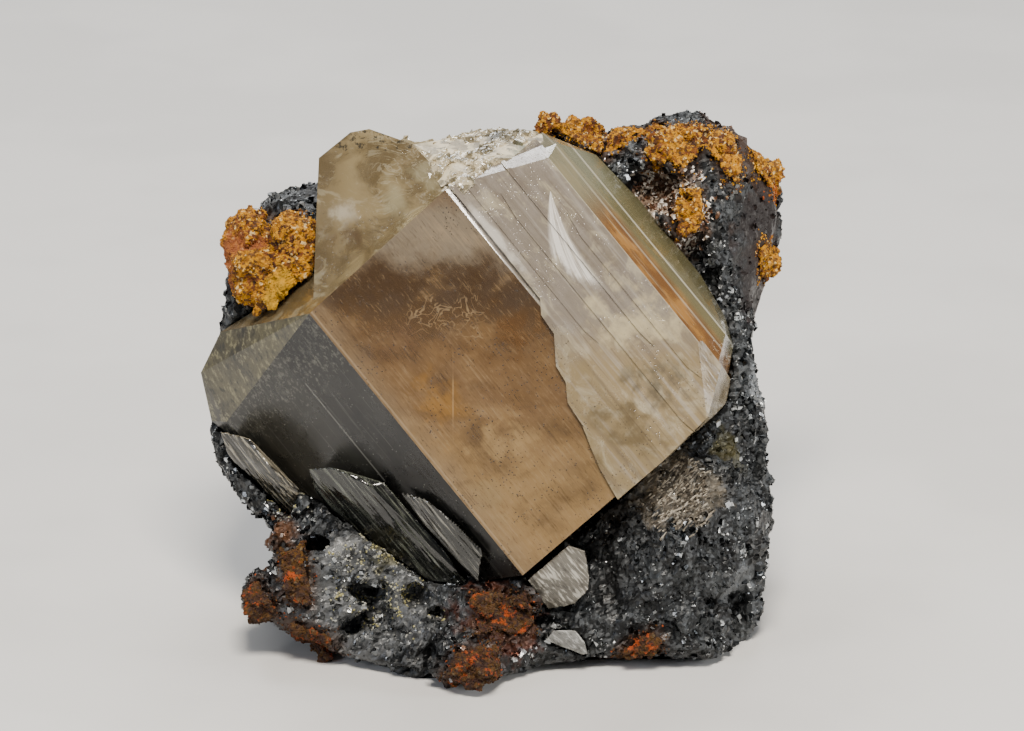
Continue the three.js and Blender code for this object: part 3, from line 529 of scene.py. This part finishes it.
def side_face(tree, at):
    """Clear crystal painted nearly black, standing for the dark galena seen through it."""
    dusk = drift(tree, at["along"], (6.0, 9.0, 9.0), 4.0, 0.6)
    base = veil(tree, colour("#0f0f0e"), "#272623", dusk, 0.35, 0.65)
    base = veil(tree, base, "#45443e", at["p"], -18.4, -19.6, 0.5)
    base = veil(tree, base, "#8d8b82", at["lines"], 0.58, 0.74, 0.3)
    specks = broken_into(tree, at["along"], 0.7, "Distance")
    base = veil(tree, base, "#9b998f", specks, 0.14, 0.05, 0.7)
    # Etched grain, strongest towards the upper end
    etched = drift(tree, at["along"], (0.4, 0.7, 0.5), 5.0, 0.78)
    upper = add(tree, "ShaderNodeMapRange", EASED, {0: at["q"], 1: 0.0, 2: 14.0, 3: 0.35})
    etched = add(tree, "ShaderNodeMath", {"operation": "MULTIPLY"}, {0: etched, 1: upper})
    base = veil(tree, base, "#8d8b7d", etched, 0.5, 0.62, 0.6)
    base = veil(tree, base, "#080807", dusk, 0.5, 0.3, 0.6)
    # One thin growth line
    line = fine_line(tree, at["p"], -18.5, 0.07)
    inside = add(tree, "ShaderNodeMapRange", {}, {0: at["q"], 1: -1.2, 2: -0.8})
    ended = add(tree, "ShaderNodeMapRange", {}, {0: at["q"], 1: 12.4, 2: 12.8, 3: 1.0, 4: 0.0})
    for part in (inside, ended):
        line = add(tree, "ShaderNodeMath", {"operation": "MULTIPLY"}, {0: line, 1: part})
    return veil(tree, base, "#a9a79d", line, 0.0, 1.0, 0.5)


def olive_end(tree, at):
    """Dull olive, roughened by etching."""
    granular = drift(tree, at["along"], (0.7, 1.6, 0.7), 5.0, 0.78)
    base = veil(tree, colour("#2e2a1d"), "#565036", drift(tree, at["along"], 5.0, 3.0), 0.35, 0.65)
    base = veil(tree, base, "#8f8866", granular, 0.53, 0.6, 0.75)
    return veil(tree, base, "#1f1e17", granular, 0.46, 0.38, 0.85)


def tan_end(tree, at):
    """Tan and clear, with cream fractures, a brown facet and dark specks along the top."""
    soft = drift(tree, at["square"], 5.0, 4.0, 0.6, 0.6)
    base = veil(tree, colour("#6f5f40"), "#9c8a64", soft, 0.38, 0.6)
    base = veil(tree, base, "#6b5c42", at["u"], -17.0, -20.5, 0.55)
    torn = drift(tree, at["square"], (4.4, 2.6, 5.0), 4.0, 0.62, 1.2)
    base = veil(tree, base, "#bdb394", torn, 0.55, 0.64, 0.4)
    base = veil(tree, base, "#5f5138", torn, 0.43, 0.32, 0.45)
    right = add(tree, "ShaderNodeMapRange", EASED, {0: at["u"], 1: -17.0, 2: -12.5})
    cracks = fine_line(tree, torn, 0.5, 0.012)
    cracks = add(tree, "ShaderNodeMath", {"operation": "MULTIPLY"}, {0: cracks, 1: right})
    base = veil(tree, base, "#cfc6aa", cracks, 0.0, 1.0, 0.35)
    base = painted(tree, base, at, (
        ((-18.4, 16.4), (3.0, 2.4), "#cdc4ad", 0.75), ((-17.4, 14.0), (2.2, 2.4), "#5d4a34", 0.8),
        ((-9.5, 21.0), (4.0, 3.0), "#a9a07f", 0.7), ((-12.4, 17.4), (2.4, 3.4), "#b0a784", 0.6)))
    specks = drift(tree, at["square"], 0.7, 4.0, 0.7)
    near_top = add(tree, "ShaderNodeMapRange", EASED, {0: at["v"], 1: 21.0, 2: 23.5})
    specks = add(tree, "ShaderNodeMath", {"operation": "MULTIPLY"}, {0: specks, 1: near_top})
    return veil(tree, base, "#2c2b24", specks, 0.53, 0.6, 0.85)


def white_margin(tree, at):
    """Crushed crystal, cream with dirt in it, and green glass at its right end."""
    own = broken_into(tree, at["along"], 0.8)
    base = veil(tree, colour("#877c62"), "#cdc0a0", own, 0.3, 0.6)
    dirt = drift(tree, at["square"], 1.0, 4.0, 0.72)
    base = veil(tree, base, "#5a5748", dirt, 0.55, 0.61, 0.8)
    return painted(tree, base, at, (
        ((4.6, 22.4), (6.5, 4.0), "#868f68", 0.9), ((-1.4, 24.6), (5.0, 2.6), "#2b2c26", 0.85),
        ((-9.0, 24.0), (4.0, 3.0), "#a39878", 0.7)))


def step_edge_highlight(tree, at):
    """The broken edge of the pale layer, lightened with a painted highlight where its side faces turn from
    the lamps.
    """
    return veil(tree, colour("#8f7d60"), "#d6cbb2", at["wobble"], 0.36, 0.56)


# Each finish with its share of light let through, colours, roughness and strength of the gleam
FINISHES = {
    "cloudy_brown_phosgenite": (0.3, brown_face, 0.12, 0.4),
    "streaked_pale_phosgenite": (0.25, pale_band, 0.14, 0.4),
    "amber_phosgenite": (0.5, amber_strip, 0.06, 0.5),
    "clear_phosgenite_over_galena": (0.5, side_face, 0.24, 0.06),
    "olive_phosgenite": (0.25, olive_end, 0.32, 0.3),
    "tan_phosgenite": (0.4, tan_end, 0.1, 0.5),
    "broken_white_phosgenite": (0.1, white_margin, 0.36, 0.4),
    "torn_step_phosgenite": (0.2, step_edge_highlight, 0.2, 0.5),
}
# Bounds of the crystal's faces, in mm across, along and out
LEFT_EDGE, BAND_EDGE, RIGHT_EDGE = -13.4, 6.4, 16.6
TAN_FOOT, OLIVE_FOOT = 18.0, 15.6
MARGIN_LEFT, MARGIN_FOOT, MARGIN_OUT = 6.2, 17.6, 17.4
FRONT_LEFT, FRONT_OUT, FRONT_SLOPE = -13.3, 17.6, 0.102  # the front face rises a little to the right


def finish_at(p, q, w, normal):
    """Which finish a face of the large crystal takes, by its place and the way it looks."""
    if q > MARGIN_FOOT and p > MARGIN_LEFT and w < MARGIN_OUT:
        return "broken_white_phosgenite"
    if q > TAN_FOOT and p > LEFT_EDGE - 0.1:
        return "tan_phosgenite"
    if p < LEFT_EDGE + 0.2 and (q > OLIVE_FOOT or normal.dot(LENGTH) > 0.25):
        return "olive_phosgenite"
    if normal.dot(ACROSS) < -0.2 or p < LEFT_EDGE:
        return "clear_phosgenite_over_galena"
    if p > RIGHT_EDGE:
        return "amber_phosgenite"
    proud = w - (FRONT_OUT + (p - FRONT_LEFT) * FRONT_SLOPE)
    # The torn step's side faces take the painted highlight
    if p < BAND_EDGE + 0.8 and proud > 0.05 and normal.dot(OUT) < 0.9:
        return "torn_step_phosgenite"
    if p > BAND_EDGE or proud > 0.2:
        return "streaked_pale_phosgenite"
    return "cloudy_brown_phosgenite"


crystal = copy_of("phosgenite_crystal", "large_phosgenite_crystal")
bpy.ops.object.mode_set(mode="EDIT")
bpy.ops.mesh.select_all(action="SELECT")
bpy.ops.mesh.dissolve_limited(angle_limit=ONE_FACE)
bpy.ops.object.mode_set(mode="OBJECT")
worn = crystal.modifiers.new("worn edges", "BEVEL")
worn.width = EDGE_WEAR
worn.segments = 2
worn.limit_method = "ANGLE"
worn.angle_limit = SHARP
bpy.ops.object.modifier_apply(modifier=worn.name)
for name, (see_through, base_of, rough, gleam) in FINISHES.items():
    finish = material_with(name, lambda tree: crystal_look(tree, see_through, base_of, rough, gleam))
    inside = add(finish.node_tree, "ShaderNodeVolumeAbsorption", {},
                 {"Color": colour(INNER_TINT), "Density": INNER_DENSITY})
    finish.node_tree.links.new(inside, finish.node_tree.nodes["Material Output"].inputs["Volume"])
    crystal.data.materials.append(finish)
for face in crystal.data.polygons:
    away = 1000 * (face.center - FACE)
    name = finish_at(away.dot(ACROSS), away.dot(LENGTH), away.dot(OUT), face.normal)
    face.material_index = list(FINISHES).index(name)
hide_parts("phosgenite_crystal")
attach(crystal, "root")


def margin_relief(tree, shape):
    """Chips of two sizes and a fine grit."""
    place = add(tree, "GeometryNodeInputPosition", {}, {})
    chips = broken_into(tree, place, 0.0016)
    small = broken_into(tree, place, 0.0007)
    fine = drift(tree, place, 0.0008, 3.0, 0.65)
    return pushed(tree, shape, summed(tree, (chips, 0.0009), (small, 0.0003), (fine, 0.0003)))


# The broken upper margin, cut from the crystal's own form and roughened
margin = copy_of("phosgenite_crystal", "broken_margin")
bpy.ops.object.mode_set(mode="EDIT")
for way, reach in ((ACROSS, MARGIN_LEFT), (LENGTH, MARGIN_FOOT + 0.15)):
    bpy.ops.mesh.select_all(action="SELECT")
    bpy.ops.mesh.bisect(plane_co=FACE + 0.001 * reach * way, plane_no=way, use_fill=True, clear_inner=True)
bpy.ops.object.mode_set(mode="OBJECT")
remesh(margin, MARGIN_VOXEL)
reshape(margin, margin_relief, material_with(
    "crumbled_white_phosgenite", lambda tree: crystal_look(tree, 0.25, white_margin, 0.1)))
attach(margin, "root")


def margin_shards(tree, shape):
    """Loose shards in clumps."""
    place = add(tree, "GeometryNodeInputPosition", {}, {})
    clumps = add(tree, "ShaderNodeMapRange", EASED, {0: drift(tree, place, 0.002), 1: 0.48, 2: 0.6})
    shard = add(tree, "GeometryNodeMeshCone", {}, {"Vertices": 4, "Radius Bottom": 0.6, "Depth": 1.0})
    low, high = (0.0002, 0.0003, 0.0001), (0.001, 0.0015, 0.0005)
    return scattered(tree, shape, shard, 600000.0, low, high, 11, clumps)


shards = piece_from(margin.data, "broken_margin_shards")
reshape(shards, margin_shards,
        material_with("white_shards", lambda tree: crystal_look(tree, 0.2, white_margin, 0.15)))
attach(shards, "root")

# Smaller crystals
# Grey, glassy blades in bundles along the lower left, split lengthwise, and a pale streaked one
# under the large crystal's foot.
BLADE_VOXEL = 0.00013
BLADE_CREASE = math.radians(30)
BLADE_GLEAM = 0.18


def split_relief(way, deep):
    """Lengthwise splits of the given depth, and how far each place looks up the face."""
    def steps(tree, shape):
        place = add(tree, "GeometryNodeInputPosition", {}, {})
        normal = add(tree, "GeometryNodeInputNormal", {}, {})
        lean = add(tree, "ShaderNodeVectorMath", {"operation": "DOT_PRODUCT"}, {0: normal, 1: UP}, "Value")
        shape = add(tree, "GeometryNodeStoreNamedAttribute", {"data_type": "FLOAT", "domain": "POINT"},
                    {0: shape, "Name": "lean", "Value": lean})
        side = way.cross(OUT).normalized()
        parts = [
            add(tree, "ShaderNodeVectorMath", {"operation": "DOT_PRODUCT"}, {0: place, 1: one}, "Value")
            for one in (side, way, side.cross(way))]
        local = add(tree, "ShaderNodeCombineXYZ", {}, dict(enumerate(parts)))
        splits = drift(tree, local, (0.0007, 0.012, 0.0014), 3.0, 0.6)
        return pushed(tree, shape, summed(tree, (splits, deep)))
    return steps


def blade_look(tree, dark, light, see_through, deep):
    """Grey glassy crystal with bright lines along its length, painted shade in its splits and painted top
    light on its upper edge.
    """
    where = add(tree, "ShaderNodeTexCoord", {}, {}, "Object")
    depth = add(tree, "ShaderNodeAttribute", {"attribute_name": "relief"}, {}, "Fac")
    lean = add(tree, "ShaderNodeAttribute", {"attribute_name": "lean"}, {}, "Fac")
    patchy = drift(tree, where, 0.0016, 4.0, 0.65)
    lines = drift(tree, crystal_places(tree)["along"], (0.3, 7.0, 0.6), 3.0, 0.65)
    # Painted shade: the splits are darker than the raised strips between them
    base = veil(tree, colour(dark), light, depth, 0.08 * deep, 0.24 * deep, 0.45)
    base = veil(tree, base, light, lines, 0.5, 0.64, 0.85)
    base = veil(tree, base, "#191915", lines, 0.44, 0.32, 0.6)
    # Painted top light: faces turned upwards are lighter
    base = veil(tree, base, light, lean, 0.5, 0.75, 0.7)
    base = veil(tree, base, "#1e1e1a", patchy, 0.42, 0.3, 0.5)
    return {
        "Base Color": base, "IOR": CRYSTAL_IOR, "Transmission Weight": see_through,
        "Specular IOR Level": BLADE_GLEAM,
        "Roughness": add(tree, "ShaderNodeMapRange", EASED, {0: patchy, 1: 0.35, 2: 0.7, 3: 0.06, 4: 0.24}),
        "Normal": add(tree, "ShaderNodeBump", {}, {"Strength": 0.25, "Distance": 0.0001, "Height": patchy})}


BLADES = [
    ("left_blade_crystal", "left_blade", -LENGTH, "#2a2820", "#c2b9a2", 0.4, 0.0006),
    ("lower_blade_crystal", "lower_blade", -LENGTH, "#1a1b18", "#74786b", 0.45, 0.0003),
    ("ragged_crystal", "ragged_blade", -LENGTH, "#2c2c28", "#8f8d83", 0.35, 0.0006),
    ("lower_crystal", "pale_foot_crystal", -LENGTH, "#6b675e", "#c4c0b3", 0.15, 0.0004),
    ("cleavage_plate", "pale_plate", RIGHT, "#83837f", "#c4c4c0", 0.1, 0.0003),
]
for node, name, way, dark, light, see_through, deep in BLADES:
    blade = copy_of(node, name)
    remesh(blade, BLADE_VOXEL)
    reshape(blade, split_relief(way, deep), material_with(
        name + "_phosgenite", lambda tree: blade_look(tree, dark, light, see_through, deep)))
    bpy.ops.object.shade_smooth_by_angle(angle=BLADE_CREASE)
    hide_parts(node)
    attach(blade, "root")

# Rusty crusts
# Dull limonite in clustered grains: ochre and orange on the top and the heart-shaped nodule,
# redder and browner towards the foot.
CRUST_VOXEL = 0.00016
RUST_GRAINS, RUST_DUST = 14000000.0, 9000000.0  # to a square metre


def crust_relief(tree, shape):
    """Rounded knobs with fine grit on them."""
    place = add(tree, "GeometryNodeInputPosition", {}, {})
    knobs = broken_into(tree, place, 0.0012, "Distance")
    fine = drift(tree, place, 0.0009, 4.0, 0.7)
    return pushed(tree, shape, summed(tree, (knobs, -0.0007), (fine, 0.0014)))


def rust_grains(tree, shape):
    """Small round grains all over a crust."""
    ball = add(tree, "GeometryNodeMeshIcoSphere", {}, {"Radius": 0.5, "Subdivisions": 1})
    return scattered(tree, shape, ball, RUST_GRAINS, (0.0001,) * 3, (0.00036,) * 3, 21)


def limonite_look(tree):
    """Earthy iron oxide: matt ochre grains over rust and dark brown."""
    where = add(tree, "ShaderNodeTexCoord", {}, {}, "Object")
    broad = drift(tree, where, 0.0026, 4.0, 0.65)
    own = broken_into(tree, where, 0.0003)
    base = veil(tree, colour("#6a3803"), "#a87002", broad, 0.42, 0.58)
    base = veil(tree, base, "#c99202", own, 0.5, 0.66, 0.55)
    base = veil(tree, base, "#2a1206", own, 0.38, 0.3, 0.7)
    # Painted glints: a few pale grains stand for white sparkles of light
    base = veil(tree, base, "#eadfb0", own, 0.8, 0.86, 0.45)
    # Painted shade: the sunken places of the crust's relief are darkened
    depth = add(tree, "ShaderNodeAttribute", {"attribute_name": "relief"}, {}, "Fac")
    base = veil(tree, base, "#1f0f07", depth, -0.00005, -0.0004, 0.85)
    height = add(tree, "ShaderNodeSeparateXYZ", {}, {0: where}, 2)
    base = veil(tree, base, "#230d06", height, 0.018, 0.01, 0.88)
    spots = drift(tree, where, 0.0016, 4.0, 0.7)
    low = add(tree, "ShaderNodeMapRange", EASED, {0: height, 1: 0.018, 2: 0.01})
    spots = add(tree, "ShaderNodeMath", {"operation": "MULTIPLY"}, {0: spots, 1: low})
    base = veil(tree, base, "#b04a08", spots, 0.54, 0.64, 0.7)
    for place, reach, tone, most in (
            ((-29.5, 12, 6), 0.0045, "#94532a", 0.75), ((-25, 8, 12), 0.003, "#c79a10", 0.6),
            ((-22, 6, 12), 0.003, "#5d3d14", 0.6), ((29, 18, -10), 0.004, "#a34508", 0.6)):
        share = patch(tree, where, on_face(*place), reach, broad)
        base = veil(tree, base, tone, share, 0.0, 1.0, most)
    fine = drift(tree, where, 0.0003, 4.0, 0.7)
    return {
        "Base Color": base, "Normal": add(tree, "ShaderNodeBump", {}, {
            "Strength": 0.6, "Distance": 0.0002, "Height": fine}),
        "Roughness": add(tree, "ShaderNodeMapRange", EASED, {0: own, 1: 0.2, 2: 0.8, 3: 0.78, 4: 0.95})}


rust = material_with("earthy_limonite", limonite_look)


def rust_dust(tree, shape):
    """Loose rust on the galena round each crust."""
    place = add(tree, "GeometryNodeInputPosition", {}, {})
    wobble = drift(tree, place, 0.002, 4.0, 0.7)
    gap = add(tree, "GeometryNodeInputNamedAttribute", {"data_type": "FLOAT"}, {"Name": "crust gap"})
    gap = add(tree, "ShaderNodeMath", {"operation": "MULTIPLY_ADD"}, {0: wobble, 1: 0.006, 2: gap})
    share = add(tree, "ShaderNodeMapRange", EASED, {0: gap, 1: 0.0026, 2: 0.0044, 3: 0.9, 4: 0.0})
    ball = add(tree, "GeometryNodeMeshIcoSphere", {}, {"Radius": 0.5, "Subdivisions": 1})
    return scattered(tree, shape, ball, RUST_DUST, (0.00012,) * 3, (0.0004,) * 3, 71, share)


dust = piece_from(rock.data, "rust_dust")
reshape(dust, rust_dust, rust)
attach(dust, "root")
for node in RUSTY:
    crust = copy_of(node, node.replace("limonite", "rusty"))
    remesh(crust, CRUST_VOXEL)
    reshape(crust, crust_relief, rust)
    for point in crust.data.vertices:
        point.co.z = max(point.co.z, 0.0)
    grains = piece_from(crust.data, node.replace("limonite", "grains"))
    reshape(grains, rust_grains, rust)
    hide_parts(node)
    for piece in (crust, grains):
        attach(piece, "root")

# Floor, light and camera
# A plain pale table under soft studio light, seen as the photo was taken, 20 degrees down.
DISTANCE = 625
SENSOR = 36
FIELD = 0.11 * 1024  # mm across the picture at the specimen's face
bpy.ops.mesh.primitive_plane_add(size=3, location=(0, 0, 0))
floor = bpy.context.object
floor.name = "floor"


def paper_look(tree):
    """Matt pale board with a faint mottle."""
    mottle = drift(tree, add(tree, "ShaderNodeTexCoord", {}, {}, "Object"), 0.04)
    return {"Base Color": veil(tree, colour("#cfcecb"), "#d5d4d1", mottle, 0.4, 0.6), "Roughness": 0.7}


floor.data.materials.append(material_with("pale_board", paper_look))

world = bpy.data.worlds.new("studio")
bpy.context.scene.world = world
world.use_nodes = True
world.node_tree.nodes["Background"].inputs["Color"].default_value = colour("#c8ccd2")
world.node_tree.nodes["Background"].inputs["Strength"].default_value = 0.2


def lamp(name, place, size, power, tone):
    """A soft oblong light that faces the specimen."""
    light = bpy.data.lights.new(name, "AREA")
    light.shape = "RECTANGLE"
    light.size, light.size_y = size
    light.energy = power
    light.color = colour(tone)[:3]
    holder = bpy.data.objects.new(name, light)
    bpy.context.scene.collection.objects.link(holder)
    holder.location = place
    holder.rotation_euler = (on_face(0, 0) - holder.location).to_track_quat("-Z", "Y").to_euler()


lamp("key", Vector((0.02, -0.25, 0.46)), (0.18, 0.14), 4.4, "#fff6ea")
lamp("fill", Vector((-0.42, -0.3, 0.2)), (0.2, 0.2), 0.9, "#eef3ff")
lamp("right", Vector((0.46, -0.1, 0.14)), (0.12, 0.2), 1.3, "#ffffff")
lamp("back", Vector((-0.05, 0.32, 0.4)), (0.4, 0.16), 2.2, "#ffffff")

camera = bpy.data.cameras.new("camera")
camera.sensor_width = SENSOR
camera.lens = SENSOR * DISTANCE / FIELD
camera.clip_start = 0.01
eye = bpy.data.objects.new("camera", camera)
bpy.context.scene.collection.objects.link(eye)
turned = Matrix((RIGHT, UP, OUT)).transposed().to_4x4()
eye.matrix_world = Matrix.Translation(on_face(0, 0, DISTANCE)) @ turned
bpy.context.scene.camera = eye
